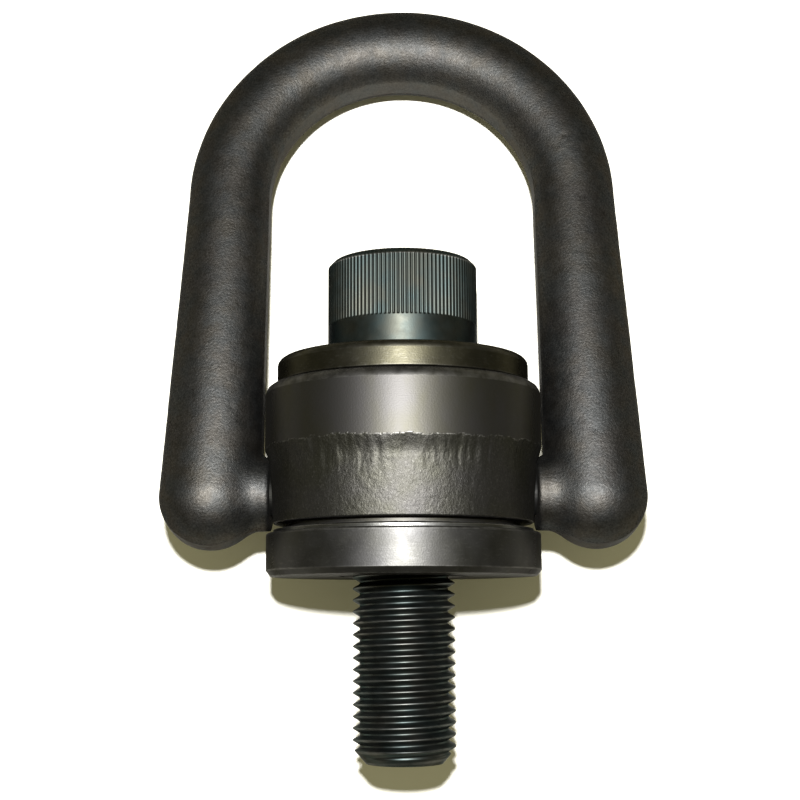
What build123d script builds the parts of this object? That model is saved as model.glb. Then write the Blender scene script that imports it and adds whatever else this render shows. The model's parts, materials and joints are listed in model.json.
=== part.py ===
from build123d import *
import os
from math import asin, cos, degrees, pi, radians, sin, sqrt, tan

# Swivel hoist ring: an eye bolt whose eye, a forged U-shaped bail, pivots on a body that swivels
# round the screw. Millimetres. The origin is the centre of the seat, the face of the flanged
# bushing that the screw pulls down onto the load.
#
# The loose ring lies on its back, on the body's machined band and the bail's crown, with +Z up,
# the screw's head towards +Y and its thread towards -Y. Each piece is built upright, with the
# screw along Z, and then laid down.

INCH = 25.4

# Cap screw, 1-1/2 inch 6 UNC socket head, with the head size that goes with that thread
THREAD_R = 1.5 * INCH / 2
PITCH = INCH / 6
THREAD_LENGTH = 68.0  # below the seat
THREAD_DEPTH = 0.6134 * PITCH
THREAD_FLANK = radians(30)
THREAD_PROUD = 0.3  # of the groove's cutter over the crests
THREAD_LEAD_IN = 1.3  # turns of the cutter before the screw's tip
THREAD_RUN_OUT_Z = 1.0
THREAD_START_ANGLE = 37.0
THREAD_END_R = 14.2
THREAD_END_H = 5.4
HEAD_R = 1.5 * THREAD_R
HEAD_H = 1.5 * INCH
HEAD_CHAMFER = 2.2
HEAD_FOOT_CHAMFER = 0.5
KNURL_START = 12.7  # above the underside of the head
KNURL_RIDGES = 108
KNURL_DEPTH = 0.5
SOCKET_AF = 1.0 * INCH
SOCKET_DEPTH = 19.0
SOCKET_CHAMFER = 1.0
SOCKET_CONE = radians(30)  # slope of the mouth and of the drill point
UNDERHEAD_FILLET = 1.2

# Flanged bushing: the lower disc and the sleeve that the body turns on
FLANGE_R = 51.5
FLANGE_H = 15.9
FLANGE_TOP_CHAMFER = 0.6
FLANGE_FOOT_CHAMFER_R = 1.7
FLANGE_FOOT_CHAMFER_H = 2.2
SLEEVE_R = 27.0
SLEEVE_TOP = 71.9
BUSHING_BORE_R = THREAD_R + 0.35
RECESS_R = 24.5
RECESS_H = 5.6

# Ring that the body rests on
THRUST_RING_R = 48.8
THRUST_RING_BORE_R = 29.0
THRUST_RING_H = 1.4

# Swivel body
BODY_FOOT_Z = 19.5
BODY_FOOT_R = 48.9
BODY_FOOT_CHAMFER = 0.5
BODY_NECK_R = 50.4  # the forged part just below the shoulder
BODY_NECK_Z = 42.5
BODY_BAND_R = 52.2  # the machined band
BODY_SHOULDER_SLOPE = 0.15  # outwards for each unit upwards, where the shoulder starts
BODY_BAND_Z = 49.5
BODY_TOP_Z = 71.5
BODY_TOP_ROUND = 3.4
BODY_LAND_R = 44.0
BODY_LAND_GAP = 0.3  # over the thrust ring
BODY_BORE_CLEARANCE = 0.08
COUNTERBORE_R = 34.0
COUNTERBORE_H = 8.0
BOSS_SEAT_X = 49.5  # flat face that is cut into each side for a boss to turn against
BOSS_SEAT_R = 14.3

# Top washer under the screw head
WASHER_R = 47.7
WASHER_TOP = 81.7
WASHER_ROUND = 2.8
WASHER_BORE_R = 19.8
WASHER_BORE_CHAMFER = 1.8

# Bail: a forged round bar in a U, with a boss inside each leg end for a pivot pin
PIVOT_Z = 30.8
LEG_X = 72.5  # centre of a leg at the pivot
ARCH_R = 69.4  # centreline radius of the arch
ARCH_H = 123.0  # from the pivot up to the arch's centre
LEG_END_R = 19.6
LEG_END_DROP = 1.3  # from the pivot down to the centre of the round leg end
BAR_R = 16.8
TRIM_DEPTH = 0.55  # of the narrow flats where the forging flash was trimmed off
BOSS_R = 13.8
BOSS_FACE_X = 49.9
BOSS_FLARE_X = 55.5  # where the boss starts to widen into the leg
LEG_FLARE_X = 63.0
BOSS_FLARE_R = 16.9

# The bail leans back until its crown is level with the body's band, as it rests on a bench
BAIL_LEAN = degrees(asin((BODY_BAND_R - BAR_R) / (ARCH_H + ARCH_R)))

# Pivot pins, trapped between the sleeve and the blind bores in the bail's leg ends
PIN_R = 8.0
PIN_INNER_X = 27.6
PIN_OUTER_X = 79.0
PIN_CHAMFER = 1.0
PIN_END_GAP = 1.0
PIN_BODY_CLEARANCE = 0.02
PIN_BAIL_CLEARANCE = 0.07

# Snap ring on the sleeve, and the split ring that keeps the screw from dropping out
SNAP_RING_Z = 66.2
SNAP_RING_H = 2.4
SNAP_RING_R = 31.0
SNAP_GROOVE_R = 25.2
SNAP_RING_SPLIT = 7.0
SCREW_GROOVE_R = 16.2
SCREW_RING_Z = 1.9
SCREW_RING_H = 2.4
SCREW_RING_R = 22.5
SCREW_RING_SPLIT = 5.0
RING_GROOVE_PLAY = 0.15


def turned(*outline):
    """A solid of revolution about Z from the corners (radius, height) of its half section."""
    corners = [(r, 0, z) for r, z in outline]
    return revolve(make_face(Polyline(*corners, close=True)), Axis.Z)


def flat_ring(bore_r, outer_r, z_low, height):
    """A plain flat ring."""
    z_high = z_low + height
    return turned((bore_r, z_low), (outer_r, z_low), (outer_r, z_high), (bore_r, z_high))


def top_round(outer_r, top_z, radius):
    """The rounded top corner of a turned part's half section, from its side up to its top face."""
    inset = radius * (1 - cos(pi / 4))
    return ThreePointArc(
        (outer_r, 0, top_z - radius), (outer_r - inset, 0, top_z - inset), (outer_r - radius, 0, top_z)
    )


def x_cylinder(radius, x_start, x_end):
    """A cylinder along X on the pivot axis of a part that is built round the origin."""
    start = Plane(origin=(x_start, 0, 0), x_dir=(0, 1, 0), z_dir=(1, 0, 0))
    return extrude(start * Circle(radius), x_end - x_start)


def split_ring(bore_r, outer_r, z_low, height, split):
    """A flat ring with a gap in it, so that it can be sprung open into its groove."""
    ring = flat_ring(bore_r, outer_r, z_low, height)
    return ring - Pos(0, -outer_r, z_low) * Box(split, 2 * outer_r, 3 * height)


def thread_groove():
    """The V-shaped helical groove of the thread, from beyond the screw's tip up to the ring groove."""
    crest_half = (PITCH - PITCH / 8) / 2
    root_half = crest_half - THREAD_DEPTH * tan(THREAD_FLANK)
    proud_half = crest_half + THREAD_PROUD * tan(THREAD_FLANK)
    z_low = -THREAD_LENGTH - THREAD_LEAD_IN * PITCH
    path = Helix(pitch=PITCH, height=THREAD_RUN_OUT_Z - z_low, radius=THREAD_R, center=(0, 0, z_low))
    section = Polyline(
        (THREAD_R + THREAD_PROUD, 0, z_low - proud_half),
        (THREAD_R - THREAD_DEPTH, 0, z_low - root_half),
        (THREAD_R - THREAD_DEPTH, 0, z_low + root_half),
        (THREAD_R + THREAD_PROUD, 0, z_low + proud_half),
        close=True,
    )
    return Rot(0, 0, THREAD_START_ANGLE) * sweep(make_face(section), path=path, is_frenet=True)


def threaded_shank():
    """The screw below its head: a plain cylinder with the thread, the tip chamfer and the ring groove."""
    shank = turned((0, -THREAD_LENGTH), (THREAD_R, -THREAD_LENGTH), (THREAD_R, WASHER_TOP), (0, WASHER_TOP))
    shank -= thread_groove()
    steep = THREAD_END_H / (THREAD_R - THREAD_END_R)
    margin = 1.0
    shank -= turned(
        (THREAD_END_R - margin, -THREAD_LENGTH - margin * steep),
        (THREAD_R + margin, -THREAD_LENGTH - margin * steep),
        (THREAD_R + margin, -THREAD_LENGTH + THREAD_END_H + margin * steep),
    )
    groove_low = SCREW_RING_Z - RING_GROOVE_PLAY
    groove_high = SCREW_RING_Z + SCREW_RING_H + RING_GROOVE_PLAY
    return shank - turned(
        (SCREW_GROOVE_R, groove_low),
        (THREAD_R + margin, groove_low),
        (THREAD_R + margin, groove_high),
        (SCREW_GROOVE_R, groove_high),
    )


def knurled_band(z_low, z_high):
    """The straight knurl of the screw head as a prism with a pointed ridge for each tooth."""
    step = 2 * pi / (2 * KNURL_RIDGES)
    corners = []
    for i in range(2 * KNURL_RIDGES):
        r = HEAD_R - (KNURL_DEPTH if i % 2 else 0)
        corners.append((r * cos(i * step), r * sin(i * step)))
    profile = make_face(Polyline(*corners, close=True))
    return extrude(Pos(0, 0, z_low) * profile, z_high - z_low)


def cap_screw():
    """Socket head cap screw: knurled head, hex socket, shank, ring groove and rolled thread."""
    head_top = WASHER_TOP + HEAD_H
    knurl_low = WASHER_TOP + KNURL_START
    knurl_high = head_top - HEAD_CHAMFER
    fillet_top = THREAD_R + UNDERHEAD_FILLET
    head = turned(
        (0, WASHER_TOP - UNDERHEAD_FILLET),
        (THREAD_R, WASHER_TOP - UNDERHEAD_FILLET),
        (fillet_top, WASHER_TOP),
        (HEAD_R - HEAD_FOOT_CHAMFER, WASHER_TOP),
        (HEAD_R, WASHER_TOP + HEAD_FOOT_CHAMFER),
        (HEAD_R, knurl_low),
        (0, knurl_low),
    )
    cap = turned(
        (0, knurl_high),
        (HEAD_R - KNURL_DEPTH, knurl_high),
        (HEAD_R - KNURL_DEPTH - HEAD_CHAMFER, head_top),
        (0, head_top),
    )
    socket_r = SOCKET_AF / sqrt(3)
    socket_floor = head_top - SOCKET_DEPTH
    socket = extrude(Pos(0, 0, socket_floor) * RegularPolygon(socket_r, 6), SOCKET_DEPTH)
    mouth_r = socket_r + SOCKET_CHAMFER
    mouth = turned((0, head_top), (mouth_r, head_top), (0, head_top - mouth_r * tan(SOCKET_CONE)))
    drill_r = SOCKET_AF / 2
    drill_tip = socket_floor - drill_r * tan(SOCKET_CONE)
    drill_point = turned((0, socket_floor), (drill_r, socket_floor), (0, drill_tip))
    head += knurled_band(knurl_low, knurl_high) + cap
    return threaded_shank() + (head - socket - mouth - drill_point)


def flanged_bushing():
    """The bushing: its flange is the disc that sits on the load, its sleeve carries the body."""
    snap_low = SNAP_RING_Z - RING_GROOVE_PLAY
    snap_high = SNAP_RING_Z + SNAP_RING_H + RING_GROOVE_PLAY
    return turned(
        (RECESS_R, 0),
        (FLANGE_R - FLANGE_FOOT_CHAMFER_R, 0),
        (FLANGE_R, FLANGE_FOOT_CHAMFER_H),
        (FLANGE_R, FLANGE_H - FLANGE_TOP_CHAMFER),
        (FLANGE_R - FLANGE_TOP_CHAMFER, FLANGE_H),
        (SLEEVE_R, FLANGE_H),
        (SLEEVE_R, snap_low),
        (SNAP_GROOVE_R, snap_low),
        (SNAP_GROOVE_R, snap_high),
        (SLEEVE_R, snap_high),
        (SLEEVE_R, SLEEVE_TOP - FLANGE_TOP_CHAMFER),
        (SLEEVE_R - FLANGE_TOP_CHAMFER, SLEEVE_TOP),
        (BUSHING_BORE_R, SLEEVE_TOP),
        (BUSHING_BORE_R, RECESS_H),
        (RECESS_R, RECESS_H),
    )


def thrust_ring():
    """The hard flat ring between the flange and the body."""
    return flat_ring(THRUST_RING_BORE_R, THRUST_RING_R, FLANGE_H, THRUST_RING_H)


def swivel_body():
    """The body: forged below, machined round above, bored for the sleeve and pins, with boss seats."""
    land_z = FLANGE_H + THRUST_RING_H + BODY_LAND_GAP
    bore_r = SLEEVE_R + BODY_BORE_CLEARANCE
    counterbore_z = BODY_TOP_Z - COUNTERBORE_H
    neck = Vector(BODY_NECK_R, 0, BODY_NECK_Z)
    band = Vector(BODY_BAND_R, 0, BODY_BAND_Z)
    shoulder = Spline(neck, band, tangents=[(BODY_SHOULDER_SLOPE, 0, 1), (0, 0, 1)])
    corner = top_round(BODY_BAND_R, BODY_TOP_Z, BODY_TOP_ROUND)
    band_side = Line(band, corner @ 0)
    inside = Polyline(
        corner @ 1,
        (COUNTERBORE_R, 0, BODY_TOP_Z),
        (COUNTERBORE_R, 0, counterbore_z),
        (bore_r, 0, counterbore_z),
        (bore_r, 0, land_z),
        (BODY_LAND_R, 0, land_z),
        (BODY_LAND_R, 0, BODY_FOOT_Z),
        (BODY_FOOT_R - BODY_FOOT_CHAMFER, 0, BODY_FOOT_Z),
        (BODY_FOOT_R, 0, BODY_FOOT_Z + BODY_FOOT_CHAMFER),
        neck,
    )
    body = revolve(make_face([shoulder, band_side, corner, inside]), Axis.Z)
    cut = x_cylinder(PIN_R + PIN_BODY_CLEARANCE, -2 * BODY_BAND_R, 2 * BODY_BAND_R)
    cut += x_cylinder(BOSS_SEAT_R, BOSS_SEAT_X, 2 * BODY_BAND_R)
    cut += x_cylinder(BOSS_SEAT_R, -2 * BODY_BAND_R, -BOSS_SEAT_X)
    return body - Pos(0, 0, PIVOT_Z) * cut


def top_washer():
    """The thick washer under the screw head."""
    corner = top_round(WASHER_R, WASHER_TOP, WASHER_ROUND)
    outline = Polyline(
        corner @ 1,
        (WASHER_BORE_R + WASHER_BORE_CHAMFER, 0, WASHER_TOP),
        (WASHER_BORE_R, 0, WASHER_TOP - WASHER_BORE_CHAMFER),
        (WASHER_BORE_R, 0, SLEEVE_TOP),
        (WASHER_R - FLANGE_TOP_CHAMFER, 0, SLEEVE_TOP),
        (WASHER_R, 0, SLEEVE_TOP + FLANGE_TOP_CHAMFER),
        corner @ 0,
    )
    return revolve(make_face([outline, corner]), Axis.Z)


def bar_section(plane, radius):
    """The bar's round section, with the two narrow trim flats on its inner and outer side."""
    return plane * (Circle(radius) & Rectangle(2 * (radius - TRIM_DEPTH), 3 * radius))


def half_bail():
    """The right half of the upright bail, its pivot axis through the origin."""
    foot = Plane(origin=(LEG_X, 0, -LEG_END_DROP), x_dir=(1, 0, 0), z_dir=(0, 0, 1))
    spring = Plane(origin=(ARCH_R, 0, ARCH_H), x_dir=(1, 0, 0), z_dir=(0, 0, 1))
    arch = revolve(bar_section(spring, BAR_R), Axis((0, 0, ARCH_H), (0, -1, 0)), 90)
    leg = loft([bar_section(foot, LEG_END_R), bar_section(spring, BAR_R)])
    outer_half = foot * Pos(LEG_END_R, 0) * Rectangle(2 * LEG_END_R, 4 * LEG_END_R)
    round_end = revolve(bar_section(foot, LEG_END_R) & outer_half, Axis(foot.origin, (0, 1, 0)), 180)
    boss = Rot(0, 90, 0) * turned(
        (0, BOSS_FACE_X),
        (BOSS_R, BOSS_FACE_X),
        (BOSS_R, BOSS_FLARE_X),
        (BOSS_FLARE_R, LEG_FLARE_X),
        (0, LEG_FLARE_X),
    )
    pin_bore = x_cylinder(PIN_R + PIN_BAIL_CLEARANCE, BOSS_FACE_X - 1, PIN_OUTER_X + PIN_END_GAP)
    return arch + leg + round_end + boss - pin_bore


def bail():
    """The bail: two halves that meet at the crown, leaning back on the pivot axis."""
    right = half_bail()
    return Pos(0, 0, PIVOT_Z) * Rot(-BAIL_LEAN, 0, 0) * (right + mirror(right, Plane.YZ))


def pivot_pin(side):
    """A plain dowel pin through the body wall into the leg end on one side."""
    pin = x_cylinder(PIN_R, PIN_INNER_X, PIN_OUTER_X)
    pin = chamfer(pin.edges().filter_by(GeomType.CIRCLE), PIN_CHAMFER)
    return Pos(0, 0, PIVOT_Z) * Rot(0, 0, 0 if side > 0 else 180) * pin


def bushing_retaining_ring():
    """The snap ring that keeps the body on the sleeve when the screw is out."""
    bore_r = SNAP_GROOVE_R + RING_GROOVE_PLAY
    return split_ring(bore_r, SNAP_RING_R, SNAP_RING_Z, SNAP_RING_H, SNAP_RING_SPLIT)


def screw_retaining_ring():
    """The split ring in the recess under the flange that keeps the screw in the bushing."""
    bore_r = SCREW_GROOVE_R + RING_GROOVE_PLAY
    return split_ring(bore_r, SCREW_RING_R, SCREW_RING_Z, SCREW_RING_H, SCREW_RING_SPLIT)


NODES = {
    "cap_screw": cap_screw(),
    "screw_retaining_ring": screw_retaining_ring(),
    "flanged_bushing": flanged_bushing(),
    "thrust_ring": thrust_ring(),
    "bushing_retaining_ring": bushing_retaining_ring(),
    "top_washer": top_washer(),
    "swivel_body": swivel_body(),
    "pivot_pin_left": pivot_pin(-1),
    "pivot_pin_right": pivot_pin(1),
    "bail": bail(),
}

LAID_DOWN = Rot(-90, 0, 0)

os.makedirs("parts", exist_ok=True)
for name, solid in NODES.items():
    export_step(LAID_DOWN * solid, f"parts/{name}.step")
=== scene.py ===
"""Looks of the swivel hoist ring: forged and turned steel with a black oxide finish, on a pale floor.

Lengths in this file are millimetres, and MM turns them into Blender's metres. The ring lies on its
back, as the CAD does: Y runs along the screw towards its head, and Z is up. Each piece is built
upright, with the screw along Z, and then laid down.
"""

import json
from math import acos, asin, cos, pi, radians, sin, tan

import bmesh
import bpy
import numpy as np
from mathutils import Matrix, Vector


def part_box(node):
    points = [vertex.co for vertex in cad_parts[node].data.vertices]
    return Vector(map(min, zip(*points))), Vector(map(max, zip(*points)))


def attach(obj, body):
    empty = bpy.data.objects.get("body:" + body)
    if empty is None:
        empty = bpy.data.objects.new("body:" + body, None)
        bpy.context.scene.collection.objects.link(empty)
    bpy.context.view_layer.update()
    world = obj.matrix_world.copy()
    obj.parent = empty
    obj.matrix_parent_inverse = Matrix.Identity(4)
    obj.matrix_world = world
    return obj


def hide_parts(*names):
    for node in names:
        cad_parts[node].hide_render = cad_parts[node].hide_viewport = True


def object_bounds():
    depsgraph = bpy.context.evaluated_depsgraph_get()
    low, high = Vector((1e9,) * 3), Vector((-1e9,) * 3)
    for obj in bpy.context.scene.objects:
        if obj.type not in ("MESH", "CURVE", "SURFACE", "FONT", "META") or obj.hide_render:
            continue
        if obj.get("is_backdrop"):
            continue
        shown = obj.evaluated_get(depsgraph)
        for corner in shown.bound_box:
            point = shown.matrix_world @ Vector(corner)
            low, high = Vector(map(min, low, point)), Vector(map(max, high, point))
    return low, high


MM = 0.001
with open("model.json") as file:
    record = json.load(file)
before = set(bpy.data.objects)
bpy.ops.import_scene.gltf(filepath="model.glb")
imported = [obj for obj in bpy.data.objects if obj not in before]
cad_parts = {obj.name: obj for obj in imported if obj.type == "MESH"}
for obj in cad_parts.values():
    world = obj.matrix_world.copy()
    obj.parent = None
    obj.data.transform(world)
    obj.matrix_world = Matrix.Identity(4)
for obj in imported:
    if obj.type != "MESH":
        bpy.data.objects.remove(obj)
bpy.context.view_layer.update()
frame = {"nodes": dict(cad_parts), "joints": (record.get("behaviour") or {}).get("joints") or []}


# ---------------------------------------------------------------- places, from the CAD frame
# Heights are along the screw, which is Y in the CAD frame and Z in an upright piece.


def corner_mm(node, end):
    """The lowest (end 0) or highest (end 1) corner of a CAD node, in millimetres."""
    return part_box(node)[end] / MM


FLANGE_R = corner_mm("flanged_bushing", 1).x
FLANGE_TOP = corner_mm("thrust_ring", 0).y
SLEEVE_TOP = corner_mm("flanged_bushing", 1).y
THRUST_R = corner_mm("thrust_ring", 1).x
THRUST_TOP = corner_mm("thrust_ring", 1).y
LAND_Z = corner_mm("swivel_body", 0).y
BODY_TOP = corner_mm("swivel_body", 1).y
BAND_R = corner_mm("swivel_body", 1).x
WASHER_R = corner_mm("top_washer", 1).x
WASHER_TOP = corner_mm("top_washer", 1).y
HEAD_R = corner_mm("cap_screw", 1).x
HEAD_TOP = corner_mm("cap_screw", 1).y
SCREW_TIP = corner_mm("cap_screw", 0).y
PIVOT_JOINT = next(j for j in frame["joints"] if j["name"] == "bail_pivot")
PIVOT_Z = PIVOT_JOINT["pos_m"][1] / MM
LAID_DOWN = Matrix.Rotation(radians(-90), 4, "X")

EDGE_ROUND = 0.5  # most turned edges
TOLERANCE = 0.01

# Bushing and thrust ring
SLEEVE_R = 27.0
THRUST_BORE_R = 29.0
BUSHING_BORE_R = 19.4
RECESS_R = 24.5
RECESS_H = 5.6
FOOT_CHAMFER_R = 1.7
FOOT_CHAMFER_H = 2.2
SNAP_GROOVE_R = 25.2
SNAP_GROOVE_LOW = 66.05
SNAP_GROOVE_HIGH = 68.75
SNAP_GROOVE_ROUND = 0.1
RECESS_ROUND = 0.4
FOOT_ROUND = 0.35
FLANGE_TOP_ROUND = 0.8
THRUST_ROUND = 0.2
THRUST_RIM_ROUND = 0.3

# Body
BODY_FOOT_Z = 19.5
BODY_FOOT_R = 48.9
BODY_TAPER = 0.062
SHOULDER_Z = 40.5
SHOULDER_H = 11.0
SHOULDER_RISE = 2.2
BODY_TOP_ROUND = 3.4
BODY_LAND_R = 44.0
BODY_BORE_R = 27.08
COUNTERBORE_R = 34.0
COUNTERBORE_H = 8.0
BODY_LAND_ROUND = 0.4
BODY_FOOT_ROUND = 0.7
BOSS_SEAT_X = 49.5
BOSS_SEAT_R = 14.3
SIDE_MARGIN_R = 1.0
SIDE_MARGIN_Z = 0.3
STREAKS_FROM_Z = 30.0
STREAKS_FULL_H = 14.0
STREAK_LIFT = 0.3
STREAK_STRETCH = (1, 1, 0.22)
TOOTH_LIFT = 0.3
TOOTH_STRETCH = (1, 1, 0.5)
BODY_PEEL_LIFT = 0.06
BODY_SWELL_LIFT = 0.1
BODY_SEGMENTS = 840
BODY_STEP = 0.42

# Washer
WASHER_BORE_R = 19.8
WASHER_BORE_CHAMFER = 1.8
WASHER_ROUND = 2.8
WASHER_FOOT_ROUND = 0.6
WASHER_BORE_ROUND = 0.3

# Screw
THREAD_R = 19.05
PITCH = 25.4 / 6
THREAD_DEPTH = 0.6134 * PITCH
CREST_ROUND_H = 0.05
CREST_ROUND_R = 0.14
TIP_R = 14.2
TIP_CHAMFER_H = 5.4
TIP_EDGE = 0.3
RING_GROOVE_R = 16.2
RING_GROOVE_LOW = 1.75
RING_GROOVE_HIGH = 4.45
RING_GROOVE_ROUND = 0.2
SHANK_ROUND = 0.3
UNDER_HEAD_ROUND = 1.2
KNURL_START = 12.7
KNURL_RIDGES = 108
KNURL_DEPTH = 0.5
KNURL_STEPS = 8
KNURL_SHARPNESS = 2.4
KNURL_RUNOUT = 0.5
KNURL_LEAD = 0.6
KNURL_MARGIN_Z = 0.1
KNURL_MARGIN_R = 0.3
HEAD_CHAMFER = 2.2
HEAD_FOOT_ROUND = 0.6
HEAD_TOP_ROUND = 0.8
SOCKET_AF = 25.4
SOCKET_DEPTH = 19.0
SOCKET_CHAMFER = 1.0
SOCKET_CONE_H = 6.0
SOCKET_ROUND = 0.3
SOCKET_MARGIN_R = 0.05
SOCKET_MARGIN_Z = 1.0
SOCKET_AXIS_R = 1.0
THREAD_SEGMENTS = 180
THREAD_LEAD_TURNS = 1.5
THREAD_SPARE_TURNS = 3

# Bail
LEG_X = 72.5
LEG_END_DROP = 1.3
LEG_END_R = 19.6
ARCH_R = 69.4
ARCH_H = 123.0
BAR_R = 16.8
BAR_SPRING_R = 16.65
BAR_CROWN_R = 16.95
BAIL_LEAN = asin((BAND_R - BAR_R) / (ARCH_H + ARCH_R))  # the crown lies level with the body's band
TRIM_DEPTH = 0.55
TRIM_SOFTNESS = 0.25
TRIM_WAVER = 0.5
TRIM_EDGE = 0.5
TRIM_FADE_WAVER = 4
BOSS_R = 13.8
BOSS_FACE_X = 49.9
BOSS_EDGE = 0.5
BOSS_BLEND = 3.5
TRIM_FADE_H = 6.0
TRIM_FADE_X = 12.0
BAIL_STEP = 0.7
BAIL_SEGMENTS = 192
POLE_DIP = 0.02
RAY_START = 30.0
RAY_END = 8.0
RAY_STEPS = 90
BAIL_SWELL_LIFT = 0.12
BAIL_PEEL_LIFT = 0.05
DENT_COUNT = 70
DENT_SIZES = (1.5, 3.5)
DENT_DEPTHS = (0.05, 0.16)


# ---------------------------------------------------------------- noise and mesh helpers

TURNED_SEGMENTS = 256
MERGE_MM = 0.002
SLIVER_MM = 0.001
NOISE_TABLE = 4096
NOISE_PRIMES = (73856093, 19349663, 83492791)
CORNER_STEPS = 4
STRAIGHT_WITHIN = 0.02
TINY = 1e-6
FACE_INSET = 0.25


def lattice_noise(points, seed):
    """Smooth noise from -1 to 1 at each point, from a fixed random lattice with a spacing of one."""
    table = np.random.default_rng(seed).random(NOISE_TABLE) * 2 - 1
    cell = np.floor(points).astype(np.int64)
    f = points - cell
    f = f * f * (3 - 2 * f)
    total = np.zeros(points.shape[:-1])
    for corner in np.ndindex(2, 2, 2):
        c = cell + np.array(corner)
        c = c * NOISE_PRIMES
        key = c[..., 0] ^ c[..., 1] ^ c[..., 2]
        weight = np.prod(np.where(np.array(corner) == 1, f, 1 - f), axis=-1)
        total += weight * table[key & (NOISE_TABLE - 1)]
    return total


def rough(points, size, octaves, seed):
    """Noise from -1 to 1 with features of the given size in millimetres, and finer ones on top."""
    total, weight = 0.0, 1.0
    for octave in range(octaves):
        total = total + weight * lattice_noise(points / size * 2**octave, seed + octave)
        weight *= 0.5
    return total / (2 - 2 * weight)


def smoothstep(x):
    x = np.clip(x, 0, 1)
    return x * x * (3 - 2 * x)


def smooth_min(a, b, k):
    h = np.clip(0.5 + 0.5 * (b - a) / k, 0, 1)
    return b + (a - b) * h - k * h * (1 - h)


def rounded(outline, step=None):
    """The points (r, z) of a closed half section whose corners (r, z, radius) are rounded.

    Also returns how much each point is a convex edge, from 0 to 1. Straight runs get a point close
    to each end, so that flat faces shade flat, and points a step apart where a step is given.
    """
    count = len(outline)
    arcs = []
    for i, (r, z, radius) in enumerate(outline):
        here = np.array((r, z), float)
        before = np.array(outline[i - 1][:2]) - here
        after = np.array(outline[(i + 1) % count][:2]) - here
        before, after = before / np.linalg.norm(before), after / np.linalg.norm(after)
        convex = after[0] * before[1] - after[1] * before[0] > 0
        half = acos(float(np.clip(before @ after, -1, 1))) / 2
        if radius == 0 or half > pi / 2 - STRAIGHT_WITHIN:
            arcs.append(([here], convex))
            continue
        reach = radius / tan(half)
        middle = before + after
        centre = here + middle / np.linalg.norm(middle) * radius / sin(half)
        start, end = here + before * reach - centre, here + after * reach - centre
        sweep = pi - 2 * half
        points = []
        for k in range(CORNER_STEPS + 1):
            w = k / CORNER_STEPS
            arm = (start * sin((1 - w) * sweep) + end * sin(w * sweep)) / sin(sweep)
            points.append(centre + arm)
        arcs.append((points, convex))
    points, edges = [], []
    for i, (arc, convex) in enumerate(arcs):
        points += arc
        edges += [1.0 if convex and len(arc) > 1 else 0.0] * len(arc)
        start, end = arc[-1], arcs[(i + 1) % count][0][0]
        length = np.linalg.norm(end - start)
        inner = min(FACE_INSET, length / 4)
        fractions = [inner / length, 1 - inner / length]
        if step:
            fractions = sorted(fractions + list(np.arange(1, int(length / step)) * step / length))
        for w in fractions:
            points.append(start + (end - start) * w)
            edges.append(0.0)
    return np.array(points), np.array(edges)


def make_object(name, vertices_mm, faces, attributes=None):
    """A smooth-shaded mesh object. Attributes are named numbers, one for each vertex."""
    mesh = bpy.data.meshes.new(name)
    mesh.from_pydata((np.asarray(vertices_mm) * MM).tolist(), [], faces)
    for key, values in (attributes or {}).items():
        attribute = mesh.attributes.new(key, "FLOAT", "POINT")
        attribute.data.foreach_set("value", np.asarray(values, np.float32).ravel())
    work = bmesh.new()
    work.from_mesh(mesh)
    bmesh.ops.remove_doubles(work, verts=work.verts, dist=MERGE_MM * MM)
    bmesh.ops.dissolve_degenerate(work, edges=work.edges, dist=SLIVER_MM * MM)
    bare_edges = [edge for edge in work.edges if not edge.link_faces]
    bmesh.ops.delete(work, geom=bare_edges, context="EDGES")
    bmesh.ops.recalc_face_normals(work, faces=work.faces)
    work.to_mesh(mesh)
    work.free()
    mesh.shade_smooth()
    obj = bpy.data.objects.new(name, mesh)
    bpy.context.scene.collection.objects.link(obj)
    return obj


def grid_faces(rows, columns, close_rows=True, close_columns=True):
    """Quads of a grid of vertices, row by row, that may close on itself either way."""
    faces = []
    for j in range(rows if close_rows else rows - 1):
        below, above = j * columns, (j + 1) % rows * columns
        for i in range(columns if close_columns else columns - 1):
            right = (i + 1) % columns
            faces.append((below + i, below + right, above + right, above + i))
    return faces


def lathe(name, outline, segments, step=None, radius_at=None):
    """A turned piece. radius_at(r, z, angle) returns the new radii and a dict of further masks."""
    profile, edge = rounded(outline, step)
    angle = np.arange(segments) * 2 * pi / segments
    r = np.repeat(profile[:, :1], segments, axis=1)
    z = np.repeat(profile[:, 1:], segments, axis=1)
    a = np.repeat(angle[None, :], len(profile), axis=0)
    attributes = {"edge": np.repeat(edge[:, None], segments, axis=1)}
    if radius_at:
        r, masks = radius_at(r, z, a)
        attributes.update(masks)
    vertices = np.stack([r * np.cos(a), r * np.sin(a), z], -1).reshape(-1, 3)
    return make_object(name, vertices, grid_faces(len(profile), segments), attributes)


# ---------------------------------------------------------------- pieces


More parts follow.
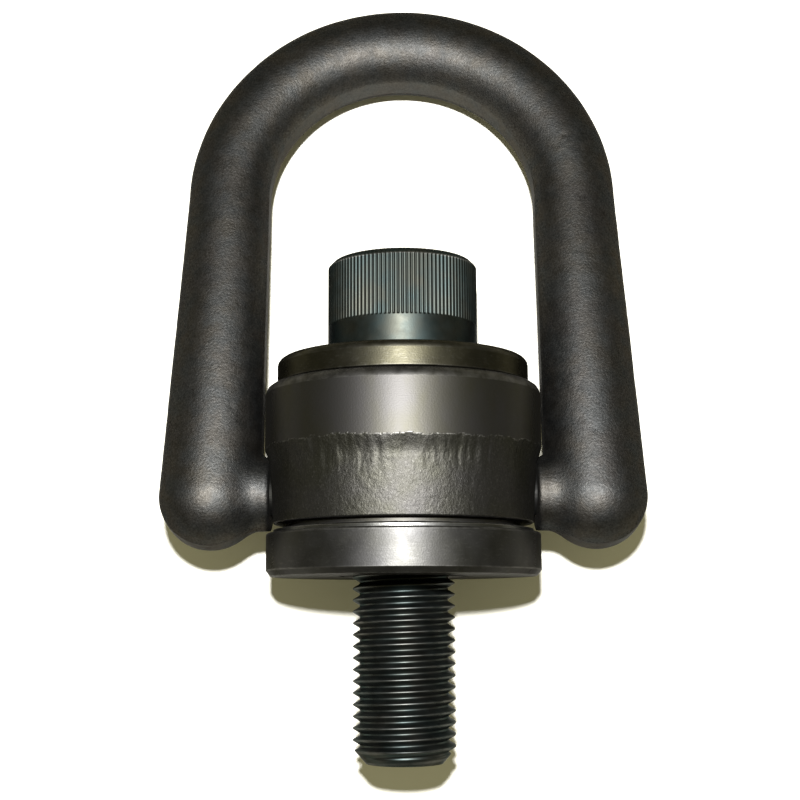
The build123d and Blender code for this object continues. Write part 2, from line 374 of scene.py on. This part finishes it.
def make_bushing():
    outline = [
        (RECESS_R, 0, RECESS_ROUND),
        (FLANGE_R - FOOT_CHAMFER_R, 0, FOOT_ROUND),
        (FLANGE_R, FOOT_CHAMFER_H, EDGE_ROUND),
        (FLANGE_R, FLANGE_TOP, FLANGE_TOP_ROUND),
        (SLEEVE_R, FLANGE_TOP, EDGE_ROUND),
        (SLEEVE_R, SNAP_GROOVE_LOW, SNAP_GROOVE_ROUND),
        (SNAP_GROOVE_R, SNAP_GROOVE_LOW, SNAP_GROOVE_ROUND),
        (SNAP_GROOVE_R, SNAP_GROOVE_HIGH, SNAP_GROOVE_ROUND),
        (SLEEVE_R, SNAP_GROOVE_HIGH, SNAP_GROOVE_ROUND),
        (SLEEVE_R, SLEEVE_TOP, EDGE_ROUND),
        (BUSHING_BORE_R, SLEEVE_TOP, EDGE_ROUND),
        (BUSHING_BORE_R, RECESS_H, EDGE_ROUND),
        (RECESS_R, RECESS_H, EDGE_ROUND),
    ]
    return lathe("bushing", outline, TURNED_SEGMENTS)


def make_thrust_ring():
    outline = [
        (THRUST_BORE_R, FLANGE_TOP, THRUST_ROUND),
        (THRUST_R, FLANGE_TOP, THRUST_ROUND),
        (THRUST_R, THRUST_TOP, THRUST_RIM_ROUND),
        (THRUST_BORE_R, THRUST_TOP, THRUST_ROUND),
    ]
    return lathe("thrust_washer", outline, TURNED_SEGMENTS)


def make_washer():
    outline = [
        (WASHER_BORE_R, SLEEVE_TOP, WASHER_BORE_ROUND),
        (WASHER_R, SLEEVE_TOP, WASHER_FOOT_ROUND),
        (WASHER_R, WASHER_TOP, WASHER_ROUND),
        (WASHER_BORE_R + WASHER_BORE_CHAMFER, WASHER_TOP, WASHER_BORE_ROUND),
        (WASHER_BORE_R, WASHER_TOP - WASHER_BORE_CHAMFER, WASHER_BORE_ROUND),
    ]
    return lathe("washer", outline, TURNED_SEGMENTS)


def body_side(r, z, a):
    """The body's outer side: a rough forged taper that the lathe cut back to a true band near the top."""
    side_top = BODY_TOP - BODY_TOP_ROUND + TOLERANCE
    on_side = (r > BODY_LAND_R + SIDE_MARGIN_R) & (z > BODY_FOOT_Z + SIDE_MARGIN_Z) & (z < side_top)
    around = np.stack([BAND_R * np.cos(a), BAND_R * np.sin(a), z], -1)
    streaks = STREAK_LIFT * rough(around * STREAK_STRETCH, size=2.2, octaves=3, seed=11)
    teeth = TOOTH_LIFT * rough(around * TOOTH_STRETCH, size=7.0, octaves=2, seed=23)
    peel = BODY_PEEL_LIFT * rough(around, size=1.9, octaves=2, seed=31)
    swell = BODY_SWELL_LIFT * rough(around, size=16.0, octaves=2, seed=41)
    near_shoulder = smoothstep((z - STREAKS_FROM_Z) / STREAKS_FULL_H)
    forged = BODY_FOOT_R + (z - BODY_FOOT_Z) * BODY_TAPER
    forged += SHOULDER_RISE * smoothstep((z - SHOULDER_Z) / SHOULDER_H)
    forged += near_shoulder * (streaks + teeth) + peel + swell
    machined = forged > BAND_R
    side = np.where(machined, BAND_R, forged)
    across, sideways = np.hypot(side * np.sin(a), z - PIVOT_Z), np.abs(np.cos(a))
    in_seat = (across < BOSS_SEAT_R) & (side * sideways > BOSS_SEAT_X)
    side = np.where(in_seat, BOSS_SEAT_X / np.maximum(sideways, 0.5), side)
    machined = machined | in_seat
    return np.where(on_side, side, r), {"machined": np.where(on_side, machined, 1.0)}


def make_body():
    outline = [
        (BODY_BORE_R, LAND_Z, BODY_LAND_ROUND),
        (BODY_LAND_R, LAND_Z, BODY_LAND_ROUND),
        (BODY_LAND_R, BODY_FOOT_Z, BODY_LAND_ROUND),
        (BODY_FOOT_R, BODY_FOOT_Z, BODY_FOOT_ROUND),
        (BAND_R, BODY_TOP, BODY_TOP_ROUND),
        (COUNTERBORE_R, BODY_TOP, EDGE_ROUND),
        (COUNTERBORE_R, BODY_TOP - COUNTERBORE_H, EDGE_ROUND),
        (BODY_BORE_R, BODY_TOP - COUNTERBORE_H, EDGE_ROUND),
    ]
    return lathe("body_forging", outline, BODY_SEGMENTS, BODY_STEP, body_side)


def leg_distance(p):
    """Signed distance to one upright leg with its round end, trim flats and boss, smoothly joined."""
    foot = np.array((LEG_X, -LEG_END_DROP))
    top = np.array((ARCH_R, ARCH_H))
    along = top - foot
    flat = p[..., [0, 2]]
    w = np.clip((flat - foot) @ along / (along @ along), 0, 1)
    in_plane = np.linalg.norm(flat - (foot + w[..., None] * along), axis=-1)
    radius = LEG_END_R + (BAR_SPRING_R - LEG_END_R) * w
    bar = np.hypot(in_plane, p[..., 1]) - radius
    bar = -smooth_min(-bar, -(in_plane - radius + TRIM_DEPTH), TRIM_SOFTNESS)
    radial = np.hypot(p[..., 1], p[..., 2]) - (BOSS_R - BOSS_EDGE)
    beyond_face = BOSS_FACE_X + BOSS_EDGE - p[..., 0]
    outside = np.hypot(np.maximum(radial, 0), np.maximum(beyond_face, 0))
    boss = outside + np.minimum(np.maximum(radial, beyond_face), 0) - BOSS_EDGE
    boss = np.maximum(boss, p[..., 0] - LEG_X)
    return smooth_min(bar, boss, BOSS_BLEND)


def surface_reach(origins, directions, distance):
    """How far along each ray the surface lies: the outermost place where the distance changes sign."""
    reach = np.full(origins.shape[:-1], np.nan)
    last = None
    for t in np.linspace(RAY_START, RAY_END, RAY_STEPS):
        d = distance(origins + directions * t)
        if last is not None:
            hit = np.isnan(reach) & (d <= 0)
            w = last[1] / np.where(last[1] - d == 0, 1, last[1] - d)
            reach = np.where(hit, last[0] + (t - last[0]) * w, reach)
        last = (t, d)
    return reach


def trim_mask(points):
    """Where the flash was trimmed off the upright bail: 1 on the two narrow flats, 0 elsewhere.

    It fades out on the inner side of the leg ends, where the bosses are.
    """
    x, y, z = np.abs(points[..., 0]), points[..., 1], points[..., 2]
    waver = TRIM_WAVER * rough(points, size=9.0, octaves=2, seed=71)
    past_boss = smoothstep((np.abs(z) - BOSS_R + TRIM_FADE_WAVER * waver) / TRIM_FADE_H)
    outer_side = smoothstep((x - LEG_X) / TRIM_FADE_X + 1)
    fade = np.maximum(past_boss, outer_side)
    half_width = np.sqrt(2 * BAR_R * TRIM_DEPTH) + waver
    return fade * (1 - smoothstep((np.abs(y) - half_width) / TRIM_EDGE + 0.5))


def right_half_rings():
    """Rings of points of the bail's right half: from the crown round the arch, down the leg to its end."""
    around = np.arange(BAIL_SEGMENTS) * 2 * pi / BAIL_SEGMENTS
    across, along, level = np.cos(around)[:, None], np.sin(around)[:, None], np.zeros((BAIL_SEGMENTS, 1))
    rings = []
    arch_count = int(ARCH_R * pi / 2 / BAIL_STEP)
    for turn in np.linspace(0, pi / 2, arch_count, endpoint=False):
        outward = np.array((sin(turn), 0, cos(turn)))
        centre = np.array((0, 0, ARCH_H)) + ARCH_R * outward
        radius = BAR_CROWN_R + (BAR_SPRING_R - BAR_CROWN_R) * turn / (pi / 2)
        flat = (radius - TRIM_DEPTH) / np.maximum(np.abs(np.cos(around)), TINY)
        reach = smooth_min(np.full_like(around, radius), flat, TRIM_SOFTNESS)
        rings.append(centre + reach[:, None] * (across * outward + along * (0, 1, 0)))
    leg_count = int((ARCH_H + LEG_END_DROP) / BAIL_STEP)
    for w in np.linspace(1, 0, leg_count, endpoint=False):
        height = -LEG_END_DROP + w * (ARCH_H + LEG_END_DROP)
        centre = np.array((LEG_X + (ARCH_R - LEG_X) * w, 0, height))
        rays = np.concatenate([across, along, level], -1)
        reach = surface_reach(np.broadcast_to(centre, rays.shape), rays, leg_distance)
        rings.append(centre + reach[:, None] * rays)
    end_count = int(LEG_END_R * pi / 2 / BAIL_STEP)
    centre = np.array((LEG_X, 0, -LEG_END_DROP))
    for dip in np.linspace(0, pi / 2, end_count, endpoint=False):
        rays = np.concatenate([across * cos(dip), along * cos(dip), level - sin(dip)], -1)
        reach = surface_reach(np.broadcast_to(centre, rays.shape), rays, leg_distance)
        rings.append(centre + reach[:, None] * rays)
    return np.array(rings)


def dents(points, count, seed):
    """Depth of small random dings at each point."""
    rng = np.random.default_rng(seed)
    depth = np.zeros(len(points))
    for centre in points[rng.integers(0, len(points), count)]:
        size = rng.uniform(*DENT_SIZES)
        distance = np.linalg.norm(points - centre, axis=-1)
        depth += rng.uniform(*DENT_DEPTHS) * np.clip(1 - (distance / size) ** 2, 0, 1) ** 2
    return depth


def make_bail():
    right = right_half_rings()
    left = right[:0:-1] * (-1, 1, 1)
    rings = np.concatenate([left, right])
    pole_right = np.array((LEG_X, 0, right[-1][:, 2].min() - POLE_DIP))
    points = np.concatenate([rings.reshape(-1, 3), [pole_right * (-1, 1, 1), pole_right]])
    faces = grid_faces(len(rings), BAIL_SEGMENTS, close_rows=False)
    pole = len(points) - 2
    last = (len(rings) - 1) * BAIL_SEGMENTS
    for i in range(BAIL_SEGMENTS):
        j = (i + 1) % BAIL_SEGMENTS
        faces.append((pole, j, i))
        faces.append((pole + 1, last + i, last + j))
    obj = make_object("bail_forging", points, faces, {"trim": trim_mask(points)})
    forge(obj)
    lean = Matrix.Translation((0, 0, PIVOT_Z * MM)) @ Matrix.Rotation(-BAIL_LEAN, 4, "X")
    obj.data.transform(lean)
    return obj


def forge(obj):
    """Moves the points of a forging in and out a little, as its surface is."""
    mesh = obj.data
    co = np.empty(len(mesh.vertices) * 3)
    mesh.vertices.foreach_get("co", co)
    co = co.reshape(-1, 3) / MM
    normals = np.array([v.normal for v in mesh.vertices])
    swell = BAIL_SWELL_LIFT * rough(co, size=22.0, octaves=2, seed=51)
    peel = BAIL_PEEL_LIFT * rough(co, size=5.0, octaves=2, seed=61)
    lift = swell + peel - dents(co, DENT_COUNT, seed=5)
    co = (co + normals * lift[:, None]) * MM
    mesh.vertices.foreach_set("co", co.ravel())
    mesh.update()


def thread_profile():
    """One pitch of the thread as (height, radius, edge): half a crest, flank, root, flank, half a crest."""
    root = THREAD_R - THREAD_DEPTH
    crest_half = PITCH / 16
    flank = THREAD_DEPTH * tan(radians(30))
    root_half = PITCH / 2 - crest_half - flank
    rise = [
        (0.0, THREAD_R, 1.0),
        (crest_half * 0.7, THREAD_R, 1.0),
        (crest_half + CREST_ROUND_H, THREAD_R - CREST_ROUND_R, 1.0),
        (crest_half + flank * 0.25, THREAD_R - THREAD_DEPTH * 0.25, 0.1),
        (crest_half + flank * 0.75, THREAD_R - THREAD_DEPTH * 0.75, 0.0),
        (crest_half + flank * 0.95, root + THREAD_DEPTH * 0.06, 0.0),
        (crest_half + flank + root_half * 0.4, root, 0.0),
    ]
    fall = [(PITCH - h, r, e) for h, r, e in reversed(rise[1:])]
    return rise + fall


def make_thread():
    """The screw's threaded end: rows that climb with the helix, and a face across each end."""
    profile = thread_profile()
    turns = int((RING_GROOVE_LOW - SCREW_TIP) / PITCH) + THREAD_SPARE_TURNS
    start = SCREW_TIP - THREAD_LEAD_TURNS * PITCH
    heights = np.array([start + PITCH * n + h for n in range(turns) for h, r, e in profile])
    radii = np.array([r for n in range(turns) for h, r, e in profile])
    edges = np.array([e for n in range(turns) for h, r, e in profile])
    angle = np.arange(THREAD_SEGMENTS) * 2 * pi / THREAD_SEGMENTS
    z = heights[:, None] + PITCH * angle[None, :] / (2 * pi)
    z = np.clip(z, SCREW_TIP, RING_GROOVE_LOW)
    tip = TIP_R + (z - SCREW_TIP) * (THREAD_R - TIP_R) / TIP_CHAMFER_H
    r = np.minimum(radii[:, None], tip)
    r = np.where(z >= RING_GROOVE_LOW, RING_GROOVE_R, r)
    edge = np.repeat(edges[:, None], THREAD_SEGMENTS, axis=1)
    vertices = np.stack([r * np.cos(angle), r * np.sin(angle), z], -1).reshape(-1, 3)
    rows, columns, per_turn = len(heights), THREAD_SEGMENTS, len(profile)
    faces = grid_faces(rows, columns, close_rows=False, close_columns=False)
    for j in range(rows - 1 - per_turn):
        a, b = j * columns + columns - 1, (j + per_turn) * columns
        faces.append((a, b, b + columns, a + columns))
    shrink = 1 - TIP_EDGE / TIP_R
    tip_face = vertices[:columns] * (shrink, shrink, 1)
    middles = [(0, 0, SCREW_TIP), (0, 0, RING_GROOVE_LOW)]
    ring, last, middle = rows * columns, (rows - 1) * columns, (rows + 1) * columns
    for i in range(columns):
        k = (i + 1) % columns
        faces.append((i, k, ring + k, ring + i))
        faces.append((ring + i, ring + k, middle))
        faces.append((last + k, last + i, middle + 1))
    vertices = np.concatenate([vertices, tip_face, middles])
    edge = np.concatenate([edge.ravel(), np.zeros(columns + len(middles))])
    return make_object("screw_thread", vertices, faces, {"edge": edge})


def make_screw_head():
    """The head and shank: a knurled turned piece with a hex socket."""
    knurl_low, knurl_high = WASHER_TOP + KNURL_START, HEAD_TOP - HEAD_CHAMFER
    socket_r = SOCKET_AF / 2 / cos(radians(30))
    floor = HEAD_TOP - SOCKET_DEPTH
    outline = [
        (0, RING_GROOVE_LOW, 0),
        (RING_GROOVE_R, RING_GROOVE_LOW, 0),
        (RING_GROOVE_R, RING_GROOVE_HIGH, RING_GROOVE_ROUND),
        (THREAD_R, RING_GROOVE_HIGH, SHANK_ROUND),
        (THREAD_R, WASHER_TOP, UNDER_HEAD_ROUND),
        (HEAD_R, WASHER_TOP, HEAD_FOOT_ROUND),
        (HEAD_R, knurl_low, 0),
        (HEAD_R, knurl_low + KNURL_LEAD, 0),
        (HEAD_R, knurl_high, HEAD_TOP_ROUND),
        (HEAD_R - HEAD_CHAMFER, HEAD_TOP, HEAD_TOP_ROUND),
        (socket_r + SOCKET_CHAMFER, HEAD_TOP, SOCKET_ROUND),
        (socket_r, HEAD_TOP - SOCKET_CHAMFER, SOCKET_ROUND),
        (socket_r, floor, SOCKET_ROUND),
        (0, floor - SOCKET_CONE_H, 0),
    ]
    segments = KNURL_RIDGES * KNURL_STEPS

    def radius_at(r, z, a):
        ridge = (a * KNURL_RIDGES / (2 * pi)) % 1.0
        valley = np.abs(ridge * 2 - 1) ** KNURL_SHARPNESS
        in_knurl = smoothstep((z - knurl_low - KNURL_MARGIN_Z) / KNURL_RUNOUT)
        in_knurl = in_knurl * (r > HEAD_R - HEAD_CHAMFER - KNURL_MARGIN_R)
        out = r - KNURL_DEPTH * valley * in_knurl
        sector = (a + pi / 6) % (pi / 3) - pi / 6
        hex_r = SOCKET_AF / 2 / np.cos(sector)
        in_socket = (r < socket_r + SOCKET_MARGIN_R) & (z > floor - SOCKET_CONE_H - SOCKET_MARGIN_Z)
        off_axis = r > SOCKET_AXIS_R
        out = np.where(in_socket & off_axis, np.minimum(out, hex_r * r / socket_r), out)
        return out, {}

    return lathe("screw_head", outline, segments, radius_at=radius_at)


# ---------------------------------------------------------------- materials


class Nodes:
    """Adds and links the nodes of one material."""

    def __init__(self, name):
        self.material = bpy.data.materials.new(name)
        self.material.use_nodes = True
        self.tree = self.material.node_tree
        self.shader = self.tree.nodes["Principled BSDF"]
        self.position = self.add("ShaderNodeTexCoord").outputs["Object"]

    def add(self, kind, **settings):
        node = self.tree.nodes.new(kind)
        for key, value in settings.items():
            setattr(node, key, value)
        return node

    def link(self, source, target):
        self.tree.links.new(source, target)

    def stretched(self, x, y, z):
        """Position in millimetres, each axis divided by a length."""
        node = self.add("ShaderNodeVectorMath", operation="MULTIPLY")
        self.link(self.position, node.inputs[0])
        node.inputs[1].default_value = (1 / MM / x, 1 / MM / y, 1 / MM / z)
        return node.outputs[0]

    def noise(self, size, detail, stretch=(1, 1, 1), roughness=0.55):
        """Noise from 0 to 1 with features of a size in millimetres, longer along a stretched axis."""
        node = self.add("ShaderNodeTexNoise")
        node.inputs["Scale"].default_value = 1.0
        node.inputs["Detail"].default_value = detail
        node.inputs["Roughness"].default_value = roughness
        self.link(self.stretched(*(size * s for s in stretch)), node.inputs["Vector"])
        return node.outputs["Fac"]

    def spread(self, value, low, high, to_low=0.0, to_high=1.0):
        """Maps low..high onto to_low..to_high, held at both ends."""
        node = self.add("ShaderNodeMapRange")
        self.link(value, node.inputs["Value"])
        node.inputs["From Min"].default_value = low
        node.inputs["From Max"].default_value = high
        node.inputs["To Min"].default_value = to_low
        node.inputs["To Max"].default_value = to_high
        return node.outputs["Result"]

    def math(self, operation, a, b):
        node = self.add("ShaderNodeMath", operation=operation)
        for socket, value in zip(node.inputs, (a, b)):
            if isinstance(value, (int, float)):
                socket.default_value = value
            else:
                self.link(value, socket)
        return node.outputs[0]

    def mix(self, factor, a, b):
        """A colour between two colours."""
        node = self.add("ShaderNodeMix", data_type="RGBA")
        self.link(factor, node.inputs["Factor"])
        for socket, value in zip((node.inputs[6], node.inputs[7]), (a, b)):
            if isinstance(value, tuple):
                socket.default_value = (*value, 1)
            else:
                self.link(value, socket)
        return node.outputs[2]

    def worn(self, colour, mask, share):
        """A colour with a share of bare steel where the mask is 1."""
        return self.mix(self.math("MULTIPLY", mask, share), colour, BARE_STEEL)

    def attribute(self, name):
        return self.add("ShaderNodeAttribute", attribute_name=name).outputs["Fac"]

    def bump(self, height, distance_mm, strength, under=None):
        node = self.add("ShaderNodeBump")
        node.inputs["Distance"].default_value = distance_mm * MM
        node.inputs["Strength"].default_value = strength
        self.link(height, node.inputs["Height"])
        if under is not None:
            self.link(under, node.inputs["Normal"])
        return node.outputs["Normal"]

    def finish(self, colour, roughness, normal):
        self.link(colour, self.shader.inputs["Base Color"])
        self.link(roughness, self.shader.inputs["Roughness"])
        self.link(normal, self.shader.inputs["Normal"])
        self.shader.inputs["Metallic"].default_value = 1.0
        self.shader.inputs["Specular Tint"].default_value = (*EDGE_TINT, 1)
        return self.material


BARE_STEEL = (0.42, 0.41, 0.39)
LATHE_STRETCH = (60, 1, 60)
EDGE_TINT = (0.3, 0.3, 0.3)  # oxide stays dark at grazing angles, where bare metal would turn white

# Each finish wanders between its colours in patches.
BAIL_OXIDE = ((0.036, 0.034, 0.032), (0.045, 0.041, 0.034), (0.033, 0.037, 0.039))
BODY_FORGED_OXIDE = ((0.054, 0.052, 0.049), (0.047, 0.046, 0.036))
BODY_TURNED_OXIDE = ((0.053, 0.051, 0.049), (0.048, 0.046, 0.035))
BUSHING_OXIDE = ((0.057, 0.056, 0.055), (0.053, 0.052, 0.046))
WASHER_OXIDE = ((0.037, 0.035, 0.026), (0.044, 0.041, 0.027))
HEAD_OXIDE = ((0.036, 0.048, 0.047), (0.048, 0.05, 0.042))
THREAD_OXIDE = ((0.046, 0.057, 0.055), (0.056, 0.057, 0.051))
THRUST_GROUND = ((0.14, 0.14, 0.135), (0.11, 0.11, 0.1))
RING_STEEL = ((0.06, 0.06, 0.058), (0.048, 0.048, 0.044))
# Painted shade: the pins are painted much darker than the other oxide, so the slivers of them that show
# between the bosses and the body read as dark shaded gaps.
PIN_STEEL_PAINTED_SHADE = ((0.02, 0.02, 0.019), (0.016, 0.016, 0.014))


def forged_steel(name, colours):
    """Black oxide on a shot-blasted forging: fine grain, in patches from brown to blue-black."""
    n = Nodes(name)
    dark, warm, cool = colours
    patches = n.spread(n.noise(26, detail=3), 0.35, 0.65)
    tint = n.spread(n.noise(9, detail=4), 0.4, 0.62)
    colour = n.mix(n.math("MULTIPLY", tint, 0.6), n.mix(patches, dark, warm), cool)
    mottle = n.spread(n.noise(0.8, detail=4, roughness=0.7), 0.35, 0.75)
    trim = n.attribute("trim")
    colour = n.worn(n.worn(colour, mottle, share=0.1), trim, share=0.04)
    grain = n.noise(0.9, detail=5, roughness=0.7)
    blasted = n.math("MULTIPLY", grain, n.spread(trim, 0.0, 1.0, to_low=1.0, to_high=0.45))
    peel = n.bump(n.noise(2.6, detail=2), distance_mm=0.2, strength=0.25)
    normal = n.bump(blasted, distance_mm=0.2, strength=0.85, under=peel)
    roughness = n.spread(n.noise(5, detail=3), 0.3, 0.7, to_low=0.44, to_high=0.54)
    return n.finish(colour, roughness, normal)


def turned_steel(name, colours, wear, smooth=0.38):
    """Black oxide on a machined face: fine lathe lines, faint stains, and bare steel on the edges."""
    n = Nodes(name)
    stains = n.spread(n.noise(18, detail=3), 0.35, 0.7)
    scuffs = n.spread(n.noise(2.4, detail=4, stretch=(1, 0.3, 1)), 0.55, 0.75)
    rubbed = n.spread(n.noise(3, detail=3), 0.3, 0.6, to_low=0.25, to_high=1.0)
    edge = n.math("MULTIPLY", n.attribute("edge"), rubbed)
    colour = n.worn(n.worn(n.mix(stains, *colours), scuffs, share=0.05), edge, share=wear)
    lathe_lines = n.bump(n.noise(0.35, detail=2, stretch=LATHE_STRETCH), distance_mm=0.05, strength=0.25)
    normal = n.bump(n.noise(0.6, detail=3), distance_mm=0.05, strength=0.6, under=lathe_lines)
    roughness = n.spread(n.noise(6, detail=3), 0.3, 0.7, to_low=smooth, to_high=smooth + 0.07)
    return n.finish(colour, roughness, normal)


def body_steel():
    """The body: grainy forging below, turned band above, by the mask of what the lathe has cut."""
    n = Nodes("body_black_oxide")
    cut = n.attribute("machined")
    uncut = n.math("SUBTRACT", 1.0, cut)
    patches = n.spread(n.noise(20, detail=3), 0.35, 0.65)
    speck = n.spread(n.noise(0.8, detail=3), 0.56, 0.7)
    forged = n.worn(n.mix(patches, *BODY_FORGED_OXIDE), speck, share=0.08)
    stains = n.spread(n.noise(14, detail=3, stretch=(1, 2, 1)), 0.35, 0.7)
    rubbed = n.spread(n.noise(3, detail=3), 0.3, 0.6, to_low=0.0, to_high=0.12)
    turned = n.worn(n.mix(stains, *BODY_TURNED_OXIDE), n.attribute("edge"), share=rubbed)
    boundary = n.math("MULTIPLY", n.math("MULTIPLY", cut, uncut), 4.0)
    torn = n.math("MULTIPLY", boundary, n.spread(n.noise(1.6, detail=2), 0.45, 0.6))
    colour = n.worn(n.mix(cut, forged, turned), torn, share=0.22)
    fine = n.bump(n.noise(0.6, detail=3), distance_mm=0.05, strength=0.55)
    lathe_lines = n.noise(0.4, detail=2, stretch=LATHE_STRETCH)
    lathe_lines = n.bump(lathe_lines, distance_mm=0.04, strength=0.25, under=fine)
    grain = n.math("MULTIPLY", n.noise(0.8, detail=5, stretch=(1, 1.5, 1), roughness=0.7), uncut)
    normal = n.bump(grain, distance_mm=0.22, strength=0.8, under=lathe_lines)
    roughness = n.spread(cut, 0.0, 1.0, to_low=0.46, to_high=0.48)
    return n.finish(colour, roughness, normal)


def screw_steel(name, colours, wear):
    """Black oxide on the rolled screw, lighter on its rounded edges and the thread's crests."""
    n = Nodes(name)
    patches = n.spread(n.noise(12, detail=3), 0.35, 0.65)
    crest = n.spread(n.attribute("edge"), 0.3, 1.0)
    rubbed = n.spread(n.noise(4, detail=3), 0.3, 0.65, to_low=0.2, to_high=1.0)
    colour = n.worn(n.mix(patches, *colours), n.math("MULTIPLY", crest, rubbed), share=wear)
    normal = n.bump(n.noise(0.6, detail=3), distance_mm=0.04, strength=0.4)
    roughness = n.spread(n.noise(5, detail=3), 0.3, 0.7, to_low=0.4, to_high=0.5)
    return n.finish(colour, roughness, normal)


# ---------------------------------------------------------------- stage

FLOOR_GAP = 0.1
BACKDROP = 1.0
SOFT_LIGHT = 0.28
GLOSS_LIGHT = 0.12
ROOM_TINT = (1.0, 0.94, 0.55)
FLOOR_R = 390
FLOOR_SEGMENTS = 128
FLOOR_COLOUR = (0.9, 0.88, 0.8)
FLOOR_ROUGHNESS = 0.8
FLOOR_GLOSS = 0.1
FLASH_PLACE = (-10, 88, 620)
FLASH_TARGET = (0, 40, 0)
FLASH_SIZE = 30
FLASH_WATTS = 11
CAMERA_PLACE = (-1.1, -14.5, 536)
CAMERA_PITCH = 8.63
CAMERA_ROLL = -0.25
CAMERA_SENSOR = 36
CAMERA_LENS = 63.98


def make_floor():
    """A round pale floor that the band and the crown lie on, as wide as the flash keeps it white."""
    low, high = (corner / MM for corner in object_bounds())
    angle = np.arange(FLOOR_SEGMENTS) * 2 * pi / FLOOR_SEGMENTS
    x, y = FLOOR_R * np.cos(angle), (low[1] + high[1]) / 2 + FLOOR_R * np.sin(angle)
    corners = np.stack([x, y, np.full_like(x, low[2] - FLOOR_GAP)], -1)
    floor = make_object("floor", corners, [tuple(range(FLOOR_SEGMENTS))])
    n = Nodes("pale_floor")
    n.shader.inputs["Base Color"].default_value = (*FLOOR_COLOUR, 1)
    n.shader.inputs["Roughness"].default_value = FLOOR_ROUGHNESS
    n.shader.inputs["Specular IOR Level"].default_value = FLOOR_GLOSS
    floor.data.materials.append(n.material)
    floor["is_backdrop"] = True


def make_flash():
    """A small round light near the camera, placed so that shadows fall just below the ring."""
    data = bpy.data.lights.new("flash", "AREA")
    data.shape = "DISK"
    data.size = FLASH_SIZE * MM
    data.energy = FLASH_WATTS
    lamp = bpy.data.objects.new("flash", data)
    lamp.location = Vector(FLASH_PLACE) * MM
    lamp.rotation_mode = "QUATERNION"
    lamp.rotation_quaternion = (Vector(FLASH_TARGET) - Vector(FLASH_PLACE)).to_track_quat("-Z", "Y")
    bpy.context.scene.collection.objects.link(lamp)


def make_world():
    """White to the camera, and a soft yellowish light on everything else, weaker in its gloss."""
    world = bpy.data.worlds.new("white_studio")
    bpy.context.scene.world = world
    world.use_nodes = True
    tree = world.node_tree
    path = tree.nodes.new("ShaderNodeLightPath")
    strength = None
    for ray, wanted in (("Is Camera Ray", BACKDROP), ("Is Glossy Ray", GLOSS_LIGHT)):
        add = tree.nodes.new("ShaderNodeMath")
        add.operation = "MULTIPLY_ADD"
        tree.links.new(path.outputs[ray], add.inputs[0])
        add.inputs[1].default_value = wanted - SOFT_LIGHT
        add.inputs[2].default_value = SOFT_LIGHT
        if strength:
            tree.links.new(strength, add.inputs[2])
        strength = add.outputs[0]
    tree.links.new(strength, tree.nodes["Background"].inputs["Strength"])
    tint = tree.nodes.new("ShaderNodeMix")
    tint.data_type = "RGBA"
    tint.inputs[6].default_value = (*ROOM_TINT, 1)
    tint.inputs[7].default_value = (1, 1, 1, 1)
    tree.links.new(path.outputs["Is Camera Ray"], tint.inputs["Factor"])
    tree.links.new(tint.outputs[2], tree.nodes["Background"].inputs["Color"])


def make_camera():
    data = bpy.data.cameras.new("camera")
    data.sensor_width = CAMERA_SENSOR
    data.lens = CAMERA_LENS
    camera = bpy.data.objects.new("camera", data)
    camera.location = Vector(CAMERA_PLACE) * MM
    look = Matrix.Rotation(radians(CAMERA_PITCH), 3, "X") @ Matrix.Rotation(radians(CAMERA_ROLL), 3, "Z")
    camera.rotation_euler = look.to_euler()
    bpy.context.scene.collection.objects.link(camera)
    bpy.context.scene.camera = camera


# ---------------------------------------------------------------- assembly


def put(piece, body, slot, material, *nodes):
    """Lays a piece down, gives it its material and body, and hides the CAD nodes it stands for."""
    piece.data.transform(LAID_DOWN)
    piece.data.materials.clear()
    piece.data.materials.append(material)
    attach(piece, body)
    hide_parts(*nodes)


def dress(node, material):
    """A CAD node that stays gets its material."""
    obj = frame["nodes"][node]
    obj.data.materials.clear()
    obj.data.materials.append(material)


head_material = screw_steel("screw_black_oxide", HEAD_OXIDE, wear=0.35)
put(make_screw_head(), "screw", "screw_oxide", head_material, "cap_screw")
thread_material = screw_steel("thread_black_oxide", THREAD_OXIDE, wear=0.14)
put(make_thread(), "screw", "screw_oxide", thread_material, "cap_screw")
bushing_material = turned_steel("bushing_black_oxide", BUSHING_OXIDE, wear=0.12, smooth=0.41)
put(make_bushing(), "bushing", "bushing_oxide", bushing_material, "flanged_bushing")
thrust_material = turned_steel("thrust_ring_ground", THRUST_GROUND, wear=0.3, smooth=0.3)
put(make_thrust_ring(), "bushing", "thrust_steel", thrust_material, "thrust_ring")
washer_material = turned_steel("washer_black_oxide", WASHER_OXIDE, wear=0.05)
put(make_washer(), "bushing", "washer_oxide", washer_material, "top_washer")
put(make_body(), "body", "body_oxide", body_steel(), "swivel_body")
put(make_bail(), "bail", "bail_forging", forged_steel("bail_black_oxide", BAIL_OXIDE), "bail")
for node in ("screw_retaining_ring", "bushing_retaining_ring"):
    dress(node, turned_steel(node + "_steel", RING_STEEL, wear=0.0))
# The pins get the painted shade colour, darker than their oxide, so they read as dark gaps beside the
# bosses.
for node in ("pivot_pin_left", "pivot_pin_right"):
    dress(node, turned_steel(node + "_steel", PIN_STEEL_PAINTED_SHADE, wear=0.0, smooth=0.6))

make_floor()
make_world()
bpy.context.scene.view_settings.view_transform = "Standard"
make_flash()
make_camera()
